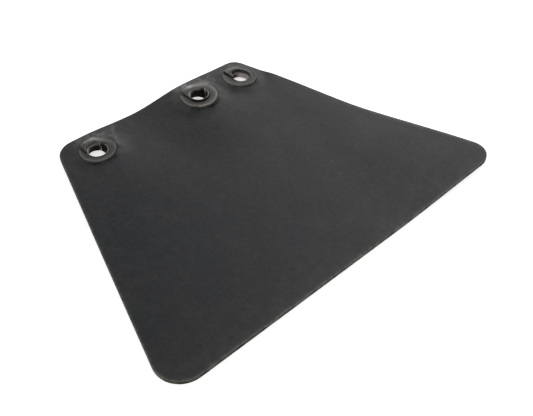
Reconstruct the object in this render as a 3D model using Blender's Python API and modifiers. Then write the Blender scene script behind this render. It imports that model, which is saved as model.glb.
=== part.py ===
"""Rubber mud flap with three reinforced eyelets, lying outer face up. Metres, +Z up.

Seen from above, the wide bottom edge runs along +X and the eyelets are at the narrow top
edge, towards +Y. Each eyelet clamps the sheet between a front ring and a rear ring, and a
rolled steel sleeve lines its bore. The origin is under the middle of the flap.
"""

import math

import bmesh
import bpy
from mathutils import Matrix, Vector

MM = 0.001
GAP = 0.3 * MM                    # clearance between pieces that touch on the real flap

# Outline of the sheet, measured from the point where the left side meets the bottom edge.
BOTTOM_WIDTH = 200.0 * MM         # between the two side lines, before the corners are rounded
FLAP_HEIGHT = 145.0 * MM
LEFT_INSET = 41.0 * MM            # how far the top edge starts in from each end of the bottom
RIGHT_INSET = 46.0 * MM
BOTTOM_LEFT_RADIUS = 12.0 * MM
BOTTOM_RIGHT_RADIUS = 9.0 * MM
TOP_RIGHT_RADIUS = 8.0 * MM
TOP_LEFT_RADIUS = 10.5 * MM
CORNER_STEPS = 7                  # straight pieces in each rounded corner
SHEET_THICKNESS = 2.4 * MM
CELL = 7.4 * MM                   # spacing of the sheet's grid of vertices

# How the rubber has warped: it lies flat up to RISE_START, and rises from there to the
# eyelets, by an amount that changes along the top edge. One bottom corner curls up.
EYELET_LINE = 130.0 * MM
RISE_START = 66.0 * MM
TOP_HEIGHTS = (                   # (distance along X, height of the sheet's underside)
    (38.0 * MM, 1.9 * MM),
    (55.0 * MM, 2.0 * MM),
    (86.0 * MM, 0.2 * MM),
    (118.0 * MM, 3.2 * MM),
    (147.0 * MM, 2.2 * MM),
    (160.0 * MM, 2.7 * MM),
)
CURL_HEIGHT = 2.8 * MM
CURL_REACH = 76.0 * MM
CURL_CORNER = (200.0 * MM, 6.0 * MM)

# Eyelets. The sheet is level, or tilted about Y, within SEAT_RADIUS of each centre.
# Columns: x, y, tilt about Y, front ring's radius, its bore, how far its rim is off to the left
# of its bore, sleeve's height above the pad, direction of the sleeve's seam.
EYELETS = {
    "left": (
        55.5 * MM, 130.0 * MM, 0.0,
        9.0 * MM, 5.5 * MM, 0.0, 0.9 * MM, math.radians(30.0),
    ),
    "middle": (
        118.0 * MM, 130.0 * MM, 0.0,
        9.8 * MM, 5.5 * MM, 0.0, 2.0 * MM, math.radians(10.0),
    ),
    "right": (
        146.5 * MM, 129.7 * MM, math.radians(3.0),
        9.4 * MM, 4.9 * MM, 0.9 * MM, -0.1 * MM, math.radians(250.0),
    ),
}
SEAT_RADIUS = 10.0 * MM
SEAT_BLEND = 8.0 * MM
PAD_RADIUS = 10.4 * MM            # moulded pad round each bore
PAD_PROUD = 0.1 * MM              # on both faces of the sheet
PAD_SIDES = 40
BORE_RADIUS = 5.6 * MM            # through the sheet and the rear ring

# Front ring: one turn of a low ramp that ends in a step beside the bore.
RING_LOW = 0.4 * MM               # thickness of the dished face where the ramp starts
RING_STEP = 0.8 * MM
RIM_HEIGHT = 0.2 * MM             # raised rim above the dished face
RIM_EDGE = 0.3 * MM               # width of the slope outside the rim
RIM_WIDTH = 1.0 * MM              # from the outside to the foot of the rim
DISH_WIDTH = 2.0 * MM             # from the outside to the middle of the dished face
MOUTH_EDGE = 0.2 * MM             # width of the slope at the bore
EDGE_DROP = 0.1 * MM
STEP_OFFSET = 0.1 * MM            # the step runs along Y, this far to the left of the bore
STEP_TURN = math.radians(8.0)     # how much of the turn the step's wall takes
RING_SIDES = 45

# Sleeve: a strip rolled into a tube, with an open seam, turned outward at the rear.
SLEEVE_INNER = 4.25 * MM
SLEEVE_WALL = 0.95 * MM
MOUTH_WIDTH = 0.7 * MM            # the front end is flared like a funnel
MOUTH_DEPTH = 1.2 * MM
LIP_RADIUS = 7.2 * MM
LIP_THICKNESS = 0.3 * MM
SEAM_WIDTH = 0.5 * MM
SLEEVE_SIDES = 32

# Rear ring: a plain washer with rounded outer edges.
REAR_RADIUS = 9.4 * MM
REAR_THICKNESS = 0.5 * MM
REAR_EDGE = 0.15 * MM

MERGE = 1e-6                      # vertices closer than this are one
FLAT = math.radians(0.5)          # faces that meet flatter than this are one
PAD_THICKNESS = SHEET_THICKNESS + 2.0 * PAD_PROUD
REAR_RING_TOP = -PAD_THICKNESS - GAP
REAR_LIP_TOP = REAR_RING_TOP - REAR_THICKNESS - GAP
SLEEVE_REAR = REAR_LIP_TOP - LIP_THICKNESS


def clear_scene():
    for old in list(bpy.data.objects):
        bpy.data.objects.remove(old, do_unlink=True)


def new_collection(name):
    collection = bpy.data.collections.new(name)
    bpy.context.scene.collection.children.link(collection)
    return collection


def new_material(name, colour, roughness, metallic):
    material = bpy.data.materials.new(name)
    material.use_nodes = True
    shader = material.node_tree.nodes["Principled BSDF"]
    shader.inputs["Base Color"].default_value = (*colour, 1.0)
    shader.inputs["Roughness"].default_value = roughness
    shader.inputs["Metallic"].default_value = metallic
    return material


def new_empty(name, collection, parent=None, location=(0.0, 0.0, 0.0), tilt=0.0):
    empty = bpy.data.objects.new(name, None)
    empty.empty_display_size = 0.01
    empty.parent = parent
    empty.location = location
    empty.rotation_euler = (0.0, tilt, 0.0)
    collection.objects.link(empty)
    return empty


def place(obj, collection, parent, material=None):
    """Move an object into its collection, under its parent, with its material."""
    for holder in list(obj.users_collection):
        holder.objects.unlink(obj)
    collection.objects.link(obj)
    obj.parent = parent
    if material:
        obj.data.materials.clear()
        obj.data.materials.append(material)
    return obj


def smooth_step(t):
    t = min(max(t, 0.0), 1.0)
    return t * t * (3.0 - 2.0 * t)


def top_edge_height(x):
    """Height of the underside along the eyelet line, smooth between the stations."""
    height = TOP_HEIGHTS[0][1]
    for (x0, z0), (x1, z1) in zip(TOP_HEIGHTS, TOP_HEIGHTS[1:]):
        if x >= x0:
            height = z0 + (z1 - z0) * smooth_step((x - x0) / (x1 - x0))
    return height


def sheet_height(x, y):
    """Height of the sheet's underside above the surface that it lies on."""
    rise = smooth_step((y - RISE_START) / (EYELET_LINE - RISE_START))
    corner = math.hypot(x - CURL_CORNER[0], y - CURL_CORNER[1])
    natural = rise * top_edge_height(x) + CURL_HEIGHT * smooth_step(1.0 - corner / CURL_REACH)
    height = natural
    for centre_x, centre_y, tilt, *_ in EYELETS.values():
        distance = math.hypot(x - centre_x, y - centre_y)
        weight = 1.0 - smooth_step((distance - SEAT_RADIUS) / SEAT_BLEND)
        seat = top_edge_height(centre_x) - math.tan(tilt) * (x - centre_x)
        height += weight * (seat - natural)
    return height


def rounded_corner(before, corner, after, radius):
    """Points of the arc that rounds one corner of an anticlockwise outline."""
    back = (before - corner).normalized()
    ahead = (after - corner).normalized()
    half_angle = back.angle(ahead) / 2.0
    centre = corner + (back + ahead).normalized() * (radius / math.sin(half_angle))
    start = corner + back * (radius / math.tan(half_angle)) - centre
    turn = math.pi - 2.0 * half_angle
    points = []
    for step in range(CORNER_STEPS + 1):
        angle = turn * step / CORNER_STEPS
        points.append(Vector((
            centre.x + start.x * math.cos(angle) - start.y * math.sin(angle),
            centre.y + start.x * math.sin(angle) + start.y * math.cos(angle),
        )))
    return points


def sheet_outline():
    corners = (
        (Vector((0.0, 0.0)), BOTTOM_LEFT_RADIUS),
        (Vector((BOTTOM_WIDTH, 0.0)), BOTTOM_RIGHT_RADIUS),
        (Vector((BOTTOM_WIDTH - RIGHT_INSET, FLAP_HEIGHT)), TOP_RIGHT_RADIUS),
        (Vector((LEFT_INSET, FLAP_HEIGHT)), TOP_LEFT_RADIUS),
    )
    outline = []
    for index, (corner, radius) in enumerate(corners):
        before = corners[index - 1][0]
        after = corners[(index + 1) % len(corners)][0]
        outline += rounded_corner(before, corner, after, radius)
    return outline


def outline_solid(name, outline, thickness, collection):
    """A flat slab from an outline: a filled 2D curve made into a mesh."""
    curve = bpy.data.curves.new(name + "_outline", "CURVE")
    curve.dimensions = "2D"
    curve.fill_mode = "BOTH"
    curve.extrude = thickness / 2.0
    spline = curve.splines.new("POLY")
    spline.points.add(len(outline) - 1)
    for point, corner in zip(spline.points, outline):
        point.co = (corner.x, corner.y, 0.0, 1.0)
    spline.use_cyclic_u = True
    guide = bpy.data.objects.new(name + "_outline", curve)
    collection.objects.link(guide)
    evaluated = guide.evaluated_get(bpy.context.evaluated_depsgraph_get())
    slab = bpy.data.objects.new(name, bpy.data.meshes.new_from_object(evaluated))
    slab.data.name = name
    slab.matrix_world = guide.matrix_world
    bpy.data.objects.remove(guide)
    return slab


def cut_grid(bm, size, axis):
    """Cut the mesh at every CELL along one axis, so that it can bend."""
    normal = Vector((1.0, 0.0, 0.0)) if axis == 0 else Vector((0.0, 1.0, 0.0))
    for index in range(1, math.ceil(size / CELL)):
        geometry = bm.verts[:] + bm.edges[:] + bm.faces[:]
        point = normal * (index * CELL)
        bmesh.ops.bisect_plane(bm, geom=geometry, dist=0.1 * MERGE, plane_co=point, plane_no=normal)


def make_sheet(collection, parent, material):
    sheet = outline_solid("flap_sheet", sheet_outline(), SHEET_THICKNESS, collection)
    bm = bmesh.new()
    bm.from_mesh(sheet.data)
    bmesh.ops.remove_doubles(bm, verts=bm.verts, dist=MERGE)
    bmesh.ops.dissolve_limit(bm, angle_limit=FLAT, verts=bm.verts, edges=bm.edges)
    cut_grid(bm, BOTTOM_WIDTH, 0)
    cut_grid(bm, FLAP_HEIGHT, 1)
    bmesh.ops.triangulate(bm, faces=bm.faces)
    for vert in bm.verts:
        vert.co.z += SHEET_THICKNESS / 2.0 + sheet_height(vert.co.x, vert.co.y)
    bmesh.ops.recalc_face_normals(bm, faces=bm.faces)
    bm.to_mesh(sheet.data)
    bm.free()
    return place(sheet, collection, parent, material)


def make_cylinder(name, radius, depth, sides, collection, eyelet):
    """A cylinder on an eyelet's axis, about the middle of the sheet's thickness."""
    bpy.ops.mesh.primitive_cylinder_add(vertices=sides, radius=radius, depth=depth)
    cylinder = bpy.context.object
    cylinder.name = name
    place(cylinder, collection, eyelet)
    cylinder.location = (0.0, 0.0, -PAD_THICKNESS / 2.0)
    hide_tool(cylinder)
    return cylinder


def hide_tool(obj):
    obj.hide_render = True
    obj.display_type = "WIRE"


def add_boolean(obj, tool, operation):
    modifier = obj.modifiers.new(tool.name, "BOOLEAN")
    modifier.operation = operation
    modifier.solver = "EXACT"
    modifier.object = tool


def fit_eyelet_to_sheet(sheet, name, eyelet, cutters):
    """Join the moulded pad to the sheet, then cut the bore through both."""
    pad = make_cylinder("pad_" + name, PAD_RADIUS, PAD_THICKNESS, PAD_SIDES, cutters, eyelet)
    add_boolean(sheet, pad, "UNION")
    through = 3.0 * PAD_THICKNESS
    bore = make_cylinder("bore_" + name, BORE_RADIUS, through, SLEEVE_SIDES, cutters, eyelet)
    add_boolean(sheet, bore, "DIFFERENCE")


def turned_object(name, profile, sides):
    """A ring turned about Z from a closed profile of (radius, height) points.

    The profile runs down the ring's outer side and back up its inner side.
    """
    mesh = bpy.data.meshes.new(name)
    obj = bpy.data.objects.new(name, mesh)
    bm = bmesh.new()
    verts = [bm.verts.new((radius, 0.0, height)) for radius, height in profile]
    for index, vert in enumerate(verts):
        bm.edges.new((verts[index - 1], vert))
    bm.to_mesh(mesh)
    bm.free()
    screw = obj.modifiers.new("turn", "SCREW")
    screw.axis = "Z"
    screw.steps = sides
    screw.render_steps = sides
    screw.use_merge_vertices = True
    screw.merge_threshold = MERGE
    screw.use_smooth_shade = True
    return obj


def apply_modifiers(obj):
    evaluated = obj.evaluated_get(bpy.context.evaluated_depsgraph_get())
    mesh = bpy.data.meshes.new_from_object(evaluated)
    obj.modifiers.clear()
    obj.data = mesh
    mesh.name = obj.name


def ramp(turned):
    """Share of the step's height after turning this far round the ring from its low end."""
    climb = 2.0 * math.pi - STEP_TURN
    if turned <= climb:
        return turned / climb
    return (2.0 * math.pi - turned) / STEP_TURN


def make_front_ring(name, outer, bore, off_centre, collection, parent, material):
    """The turned ring, sheared so that its step lies along a straight line beside the bore."""
    step_line = bore + STEP_OFFSET
    face_middle = outer - DISH_WIDTH
    profile = (
        (outer - RIM_EDGE, RING_LOW + RIM_HEIGHT),
        (outer, RING_LOW + EDGE_DROP),
        (outer, 0.0),
        (face_middle, 0.0),
        (bore, 0.0),
        (bore, RING_LOW - EDGE_DROP),
        (bore + MOUTH_EDGE, RING_LOW),
        (face_middle, RING_LOW),
        (outer - RIM_WIDTH, RING_LOW + RIM_HEIGHT),
    )
    ring = turned_object("front_ring_" + name, profile, RING_SIDES)
    collection.objects.link(ring)
    apply_modifiers(ring)
    for vert in ring.data.vertices:
        radius = math.hypot(vert.co.x, vert.co.y)
        turned = math.atan2(vert.co.y, vert.co.x) % (2.0 * math.pi)
        if vert.co.z > 0.0:
            vert.co.z += RING_STEP * ramp(turned)
        angle = turned + math.acos(-step_line / max(radius, step_line))
        vert.co.x = radius * math.cos(angle) - off_centre * (radius - bore) / (outer - bore)
        vert.co.y = radius * math.sin(angle)
    place(ring, collection, parent, material)
    ring.location = (0.0, 0.0, GAP)
    return ring


def make_rear_ring(name, collection, parent, material):
    profile = (
        (REAR_RADIUS - REAR_EDGE, REAR_RING_TOP),
        (REAR_RADIUS, REAR_RING_TOP - REAR_EDGE),
        (REAR_RADIUS, REAR_RING_TOP - REAR_THICKNESS + REAR_EDGE),
        (REAR_RADIUS - REAR_EDGE, REAR_RING_TOP - REAR_THICKNESS),
        (BORE_RADIUS, REAR_RING_TOP - REAR_THICKNESS),
        (BORE_RADIUS, REAR_RING_TOP),
    )
    ring = turned_object("rear_ring_" + name, profile, SLEEVE_SIDES)
    return place(ring, collection, parent, material)


def make_sleeve(name, front, seam_angle, collection, cutters, parent, material):
    """The rolled sleeve, whose front end is at the height `front` above the pad."""
    outer = SLEEVE_INNER + SLEEVE_WALL
    profile = (
        (outer, front),
        (outer, REAR_LIP_TOP),
        (LIP_RADIUS, REAR_LIP_TOP),
        (LIP_RADIUS, SLEEVE_REAR),
        (SLEEVE_INNER, SLEEVE_REAR),
        (SLEEVE_INNER, front - MOUTH_DEPTH),
        (SLEEVE_INNER + MOUTH_WIDTH, front),
    )
    sleeve = turned_object("sleeve_" + name, profile, SLEEVE_SIDES)
    place(sleeve, collection, parent, material)
    bpy.ops.mesh.primitive_cube_add(size=1.0)
    seam = bpy.context.object
    seam.name = "seam_" + name
    seam.data.transform(seam_box(front, seam_angle))
    place(seam, cutters, parent)
    hide_tool(seam)
    add_boolean(sleeve, seam, "DIFFERENCE")
    return sleeve


def seam_box(front, angle):
    """Turns a unit cube into the slot of the seam, from inside the bore past the rear lip."""
    length = LIP_RADIUS
    height = 4.0 * (front - SLEEVE_REAR)
    size = Matrix.Diagonal((length, SEAM_WIDTH, height, 1.0))
    outward = Matrix.Translation((SLEEVE_INNER * 0.5 + length * 0.5, 0.0, 0.0))
    return Matrix.Rotation(angle, 4, "Z") @ outward @ size


def middle_of_outline():
    outline = sheet_outline()
    middle_x = (min(point.x for point in outline) + max(point.x for point in outline)) / 2.0
    middle_y = (min(point.y for point in outline) + max(point.y for point in outline)) / 2.0
    return middle_x, middle_y


def build():
    clear_scene()
    parts = new_collection("mud_flap")
    cutters = new_collection("cutters")
    rubber = new_material("flap_rubber", (0.045, 0.045, 0.047), 0.6, 0.0)
    ring_steel = new_material("ring_steel", (0.08, 0.08, 0.07), 0.55, 0.5)
    rear_steel = new_material("rear_ring_steel", (0.10, 0.10, 0.095), 0.5, 0.7)
    sleeve_steel = new_material("sleeve_steel", (0.30, 0.24, 0.20), 0.4, 0.9)

    middle_x, middle_y = middle_of_outline()
    flap = new_empty("flap_frame", parts, location=(-middle_x, -middle_y, 0.0))
    sheet = make_sheet(parts, flap, rubber)
    for name, (x, y, tilt, outer, bore, off_centre, front, seam_angle) in EYELETS.items():
        face = top_edge_height(x) + SHEET_THICKNESS + PAD_PROUD
        eyelet = new_empty("eyelet_" + name, parts, flap, (x, y, face), tilt)
        fit_eyelet_to_sheet(sheet, name, eyelet, cutters)
        make_front_ring(name, outer, bore, off_centre, parts, eyelet, ring_steel)
        make_rear_ring(name, parts, eyelet, rear_steel)
        make_sleeve(name, front, seam_angle, parts, cutters, eyelet, sleeve_steel)
    bpy.context.view_layer.update()


build()
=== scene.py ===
"""Looks for the rubber mud flap: the warped sheet, its three ringed eyelets, and the studio.

Every visible piece is rebuilt here as a finer mesh in the place of its CAD node, from the same
outline, warp and profiles. Distances are in metres. The sheet's outline is measured from the
point where the left side meets the bottom edge, as on the flat pattern, and CENTRE is
subtracted to reach the object's own frame. Rings and sleeves are made round the middle of
their bore, with height 0 on the face of the pad. An arc on them is (start, end, fade) in
degrees, anticlockwise from +X.
"""

import math
from typing import NamedTuple

import bmesh
import bpy
from mathutils import Matrix, Vector, geometry, noise


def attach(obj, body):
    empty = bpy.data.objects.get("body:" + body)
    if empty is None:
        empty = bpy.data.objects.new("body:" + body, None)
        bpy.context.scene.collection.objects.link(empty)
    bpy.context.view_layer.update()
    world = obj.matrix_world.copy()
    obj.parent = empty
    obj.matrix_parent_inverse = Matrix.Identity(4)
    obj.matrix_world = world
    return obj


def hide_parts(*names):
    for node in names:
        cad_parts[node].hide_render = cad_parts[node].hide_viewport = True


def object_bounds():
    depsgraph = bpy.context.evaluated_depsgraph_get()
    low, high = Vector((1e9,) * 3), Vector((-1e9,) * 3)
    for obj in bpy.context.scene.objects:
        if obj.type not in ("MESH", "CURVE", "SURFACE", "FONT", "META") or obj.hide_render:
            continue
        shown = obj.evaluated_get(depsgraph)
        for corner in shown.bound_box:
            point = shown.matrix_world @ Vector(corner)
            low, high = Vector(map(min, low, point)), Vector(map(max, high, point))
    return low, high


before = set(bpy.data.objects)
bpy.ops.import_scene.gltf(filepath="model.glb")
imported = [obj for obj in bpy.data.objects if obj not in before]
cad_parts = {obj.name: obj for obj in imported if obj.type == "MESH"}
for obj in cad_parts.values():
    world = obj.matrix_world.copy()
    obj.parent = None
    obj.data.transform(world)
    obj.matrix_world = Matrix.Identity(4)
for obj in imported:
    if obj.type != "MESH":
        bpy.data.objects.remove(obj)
CAD_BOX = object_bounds()

MM = 0.001
TURN = 2.0 * math.pi

# --- Dimensions shared with the CAD -------------------------------------------------------

BOTTOM_WIDTH = 200.0 * MM         # before the corners are rounded
FLAP_HEIGHT = 145.0 * MM
OUTLINE_CORNERS = (               # (corner, radius), anticlockwise from the bottom left
    (Vector((0.0, 0.0)), 12.0 * MM),
    (Vector((200.0, 0.0)) * MM, 9.0 * MM),
    (Vector((154.0, 145.0)) * MM, 8.0 * MM),
    (Vector((41.0, 145.0)) * MM, 10.5 * MM),
)
SHEET_THICKNESS = 2.4 * MM
EYELET_LINE = 130.0 * MM
RISE_START = 66.0 * MM            # the sheet lies flat up to here, and rises to the eyelets
TOP_HEIGHTS = (                   # (distance along X, height of the sheet's underside)
    (38.0 * MM, 1.9 * MM),
    (55.0 * MM, 2.0 * MM),
    (86.0 * MM, 0.2 * MM),
    (118.0 * MM, 3.2 * MM),
    (147.0 * MM, 2.2 * MM),
    (160.0 * MM, 2.7 * MM),
)
CURL_HEIGHT = 2.8 * MM            # the right bottom corner curls up
CURL_REACH = 76.0 * MM
CURL_CORNER = (200.0 * MM, 6.0 * MM)


class Eyelet(NamedTuple):
    x: float                      # of the middle of its bore
    y: float
    tilt: float                   # of the seat, about Y
    outer: float                  # radius of the front ring's rim
    bore: float                   # radius of the front ring's bore
    off_centre: float             # how far the rim is off to the left of the bore
    front: float                  # height of the sleeve's front end above the pad
    seam: float                   # direction of the sleeve's seam, in radians


EYELETS = {
    "left": Eyelet(
        55.5 * MM, EYELET_LINE, 0.0,
        outer=9.0 * MM, bore=5.5 * MM, off_centre=0.0, front=0.9 * MM, seam=math.radians(30.0),
    ),
    "middle": Eyelet(
        118.0 * MM, EYELET_LINE, 0.0,
        outer=9.8 * MM, bore=5.5 * MM, off_centre=0.0, front=2.0 * MM, seam=math.radians(10.0),
    ),
    "right": Eyelet(
        146.5 * MM, 129.7 * MM, math.radians(3.0),
        outer=9.4 * MM, bore=4.9 * MM, off_centre=0.9 * MM, front=-0.1 * MM,
        seam=math.radians(250.0),
    ),
}
# (middle, radius) of the rim of each front ring
RIMS = [
    (Vector((eyelet.x - eyelet.off_centre, eyelet.y)), eyelet.outer) for eyelet in EYELETS.values()
]
SEAT_RADIUS = 10.0 * MM           # the sheet has a flat seat round each eyelet
SEAT_BLEND = 8.0 * MM
PAD_PROUD = 0.1 * MM              # how far the pad round each bore stands out of both faces
BORE_RADIUS = 5.6 * MM            # through the sheet and the rear ring
RING_STEP = 0.8 * MM              # the front ring is one turn of a ramp that ends in this step
STEP_OFFSET = 0.1 * MM            # the step runs along Y, this far to the left of the bore
SLEEVE_INNER = 4.25 * MM
SLEEVE_OUTER = 5.2 * MM
REAR_RING_TOP = -2.9 * MM
REAR_RING_REAR = -3.4 * MM
REAR_RADIUS = 9.4 * MM
LIP_TOP = -3.7 * MM               # the sleeve's rear end is turned outward into a lip
SLEEVE_REAR = -4.0 * MM
LIP_RADIUS = 7.2 * MM
SEAM_WIDTH = 0.5 * MM


def smooth_step(value):
    """0 up to 0, 1 from 1 on, and smooth between."""
    share = min(max(value, 0.0), 1.0)
    return share * share * (3.0 - 2.0 * share)


def between(first, second, share):
    """The value at a share of the way from the first to the second."""
    return first + (second - first) * share


def arc_window(x, y, start, end, fade):
    """1 in the directions from start round to end, in degrees, fading to 0 at both."""
    turned = (math.degrees(math.atan2(y, x)) - start) % 360.0
    return smooth_step(turned / fade) * smooth_step((end - start - turned) / fade)


def quarter_turn(steps):
    """Angles from 0 to a right angle."""
    return [0.25 * TURN * step / steps for step in range(steps + 1)]


def patchy(x, y, patches):
    """Smooth noise from -1 to 1, in patches given by (width, length, slice of the noise)."""
    width, length, level = patches
    return noise.noise(Vector((x / width, y / length, level)))


def top_edge_height(x):
    """Height of the underside along the eyelet line, smooth between the stations."""
    height = TOP_HEIGHTS[0][1]
    for (start, low), (end, high) in zip(TOP_HEIGHTS, TOP_HEIGHTS[1:]):
        if x >= start:
            height = between(low, high, smooth_step((x - start) / (end - start)))
    return height


def seat_share(x, y, eyelet):
    """1 on the flat seat of an eyelet, fading to 0 round it."""
    distance = math.hypot(x - eyelet.x, y - eyelet.y)
    return 1.0 - smooth_step((distance - SEAT_RADIUS) / SEAT_BLEND)


def sheet_height(x, y):
    """Height of the sheet's underside above the surface that it lies on."""
    rise = smooth_step((y - RISE_START) / (EYELET_LINE - RISE_START))
    corner = math.hypot(x - CURL_CORNER[0], y - CURL_CORNER[1])
    natural = rise * top_edge_height(x) + CURL_HEIGHT * smooth_step(1.0 - corner / CURL_REACH)
    height = natural
    for eyelet in EYELETS.values():
        seat = top_edge_height(eyelet.x) - math.tan(eyelet.tilt) * (x - eyelet.x)
        height += seat_share(x, y, eyelet) * (seat - natural)
    return height


# --- Outline of the sheet -----------------------------------------------------------------

ARC_STEPS = 16
EDGE_SPACING = 1.3 * MM
# (start, direction) of the straight side from each corner to the next
SIDES = [
    (corner, (OUTLINE_CORNERS[(index + 1) % len(OUTLINE_CORNERS)][0] - corner).normalized())
    for index, (corner, _) in enumerate(OUTLINE_CORNERS)
]


def corner_arcs():
    """(centre, radius, direction to each point) of the arc at each corner, anticlockwise."""
    arcs = []
    for index, (corner, radius) in enumerate(OUTLINE_CORNERS):
        back = -SIDES[index - 1][1]
        ahead = SIDES[index][1]
        half_angle = back.angle(ahead) / 2.0
        centre = corner + (back + ahead).normalized() * (radius / math.sin(half_angle))
        start = (corner + back * (radius / math.tan(half_angle)) - centre).normalized()
        turn = math.pi - 2.0 * half_angle
        directions = [
            Matrix.Rotation(turn * step / ARC_STEPS, 2) @ start for step in range(ARC_STEPS + 1)
        ]
        arcs.append((centre, radius, directions))
    return arcs


ARCS = corner_arcs()


def outline_points(inset):
    """The outline moved inwards by `inset`, always with the same number of points."""
    points = []
    for index, (centre, radius, directions) in enumerate(ARCS):
        arc = [centre + direction * (radius - inset) for direction in directions]
        next_centre, next_radius, next_directions = ARCS[(index + 1) % len(ARCS)]
        end = next_centre + next_directions[0] * (next_radius - inset)
        full_side = (next_centre - centre + next_directions[0] * (next_radius - radius)).length
        steps = round(full_side / EDGE_SPACING)
        points += arc
        points += [arc[-1].lerp(end, step / steps) for step in range(1, steps)]
    return points


def centre_of_pattern():
    outline = outline_points(0.0)
    xs = [point.x for point in outline]
    ys = [point.y for point in outline]
    return Vector(((min(xs) + max(xs)) / 2.0, (min(ys) + max(ys)) / 2.0, 0.0))


CENTRE = centre_of_pattern()


def outline_distance(point):
    """Distance from a point of the flat pattern in to the nearest side or corner arc."""
    distances = []
    for corner, ahead in SIDES:
        away = point - corner
        distances.append(ahead.x * away.y - ahead.y * away.x)
    for centre, radius, directions in ARCS:
        away = point - centre
        middle = directions[ARC_STEPS // 2]
        if away.length > 0.0 and away.angle(middle) < directions[0].angle(middle):
            distances.append(radius - away.length)
    return min(distances)


def circle_points(centre, radius, count):
    return [
        Vector((
            centre[0] + radius * math.cos(TURN * step / count),
            centre[1] + radius * math.sin(TURN * step / count),
        ))
        for step in range(count)
    ]


# --- Objects ------------------------------------------------------------------------------

MERGE = 1e-7                      # vertices closer than this are one


def finish_piece(name, bm, material, node):
    """Turn a bmesh into a piece that stands for a CAD node."""
    bmesh.ops.remove_doubles(bm, verts=bm.verts, dist=MERGE)
    bmesh.ops.recalc_face_normals(bm, faces=bm.faces)
    mesh = bpy.data.meshes.new(name)
    bm.to_mesh(mesh)
    bm.free()
    for polygon in mesh.polygons:
        polygon.use_smooth = True
    mesh.materials.append(material)
    piece = bpy.data.objects.new(name, mesh)
    bpy.context.scene.collection.objects.link(piece)
    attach(piece, "root")
    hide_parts(node)
    return piece


def bridge_rows(bm, rows):
    """Quads between neighbouring closed rows of vertices."""
    for row, following in zip(rows, rows[1:]):
        for index in range(len(row)):
            ahead = (index + 1) % len(row)
            bm.faces.new((row[index], row[ahead], following[ahead], following[index]))


def store_marks(mesh, marks_at):
    """Store the marks that marks_at gives for each vertex as point attributes."""
    marks = [marks_at(vert.co) for vert in mesh.vertices]
    for name in marks[0]:
        attribute = mesh.attributes.new(name, "FLOAT", "POINT")
        attribute.data.foreach_set("value", [mark[name] for mark in marks])


# --- Shape of the rubber sheet ------------------------------------------------------------

GRID_SPACING = 1.7 * MM
ROW_SPACING = GRID_SPACING * math.sin(math.pi / 3.0)  # of an even triangular grid
# distances out from the rim of a front ring at which the faces of the sheet have rings of points
POINT_RINGS = [distance * MM for distance in (
    -1.2, -0.5, -0.1, 0.02, 0.05, 0.08, 0.12, 0.2, 0.35, 0.6, 0.9, 1.3, 1.8, 2.5, 3.4, 4.5, 5.6, 6.8,
)]
RING_POINTS = 72
POINT_MARGIN = 2.0 * MM           # the faces' own points keep this far in from the outline
RING_OVERLAP = 0.01 * MM          # points this much too near another ring are still kept
CLOSED_LOOPS = 1                  # Delaunay output: only the triangles inside the loops
CLOSE_POINTS = 1e-6               # points closer than this are one in the triangulation
FACE_INSETS = (1.3 * MM, 0.75 * MM)  # rows of points on both faces, along every edge
TOP_ARRIS = 0.35 * MM
REAR_ARRIS = 0.3 * MM
ARRIS_STEPS = 4
WALL_STEPS = 4
BROAD_HEIGHT = 0.11 * MM          # slow unevenness of the moulded face
BROAD_PATCHES = (38.0 * MM, 46.0 * MM, 1.7)
FINE_HEIGHT = 0.022 * MM
FINE_PATCHES = (11.0 * MM, 13.0 * MM, 6.1)
LIP_HEIGHT = 0.62 * MM            # rubber pushed up round each ring, against its wall
LIP_START = 0.02 * MM             # distances beyond the ring at which the lip starts,
LIP_WIDTH = 0.12 * MM             # is at its highest,
LIP_REACH = 5.5 * MM              # and has sunk back into the face
LIP_UNEVENNESS = 0.35
LIP_PATCHES = (3.4 * MM, 3.4 * MM, 8.3)
PAD_STEP = 0.6 * MM               # width of the slope round a pad
FOLD_ENDS = (Vector((65.7, 128.5)) * MM, Vector((71.5, 143.0)) * MM)
FOLD_HEIGHT = 0.24 * MM           # shallow crease beside the left eyelet
FOLD_WIDTH = 1.1 * MM


def edge_profile():
    """(inset, depth) from the top face, over its arris and down the wall, to the rear face."""
    wall_top = TOP_ARRIS
    wall_foot = SHEET_THICKNESS - REAR_ARRIS
    profile = [(inset, 0.0) for inset in FACE_INSETS]
    for angle in quarter_turn(ARRIS_STEPS):
        profile.append((TOP_ARRIS * (1.0 - math.sin(angle)), TOP_ARRIS * (1.0 - math.cos(angle))))
    for step in range(1, WALL_STEPS):
        profile.append((0.0, between(wall_top, wall_foot, step / WALL_STEPS)))
    for angle in quarter_turn(ARRIS_STEPS):
        depth = wall_foot + REAR_ARRIS * math.sin(angle)
        profile.append((REAR_ARRIS * (1.0 - math.cos(angle)), depth))
    profile += [(inset, SHEET_THICKNESS) for inset in reversed(FACE_INSETS)]
    return profile


def fold(x, y):
    """Height of the shallow crease beside the left eyelet."""
    start, end = FOLD_ENDS
    along = end - start
    share = min(max((Vector((x, y)) - start).dot(along) / along.length_squared, 0.0), 1.0)
    away = (Vector((x, y)) - start - along * share).length / FOLD_WIDTH
    return FOLD_HEIGHT * math.exp(-away * away)


def pad_height(distance):
    """Height of a pad, by the distance beyond its edge."""
    return PAD_PROUD * (1.0 - smooth_step(distance / PAD_STEP))


def pushed_up(x, y):
    """Height of the pad and of the rubber lip round the nearest ring."""
    height = 0.0
    for centre, radius in RIMS:
        distance = math.hypot(x - centre.x, y - centre.y) - radius
        outside = 1.0 - smooth_step((distance - LIP_WIDTH) / (LIP_REACH - LIP_WIDTH))
        inside = smooth_step((distance - LIP_START) / (LIP_WIDTH - LIP_START))
        uneven = 1.0 + LIP_UNEVENNESS * patchy(x, y, LIP_PATCHES)
        height = max(height, LIP_HEIGHT * uneven * outside * inside, pad_height(distance))
    return height


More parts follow.
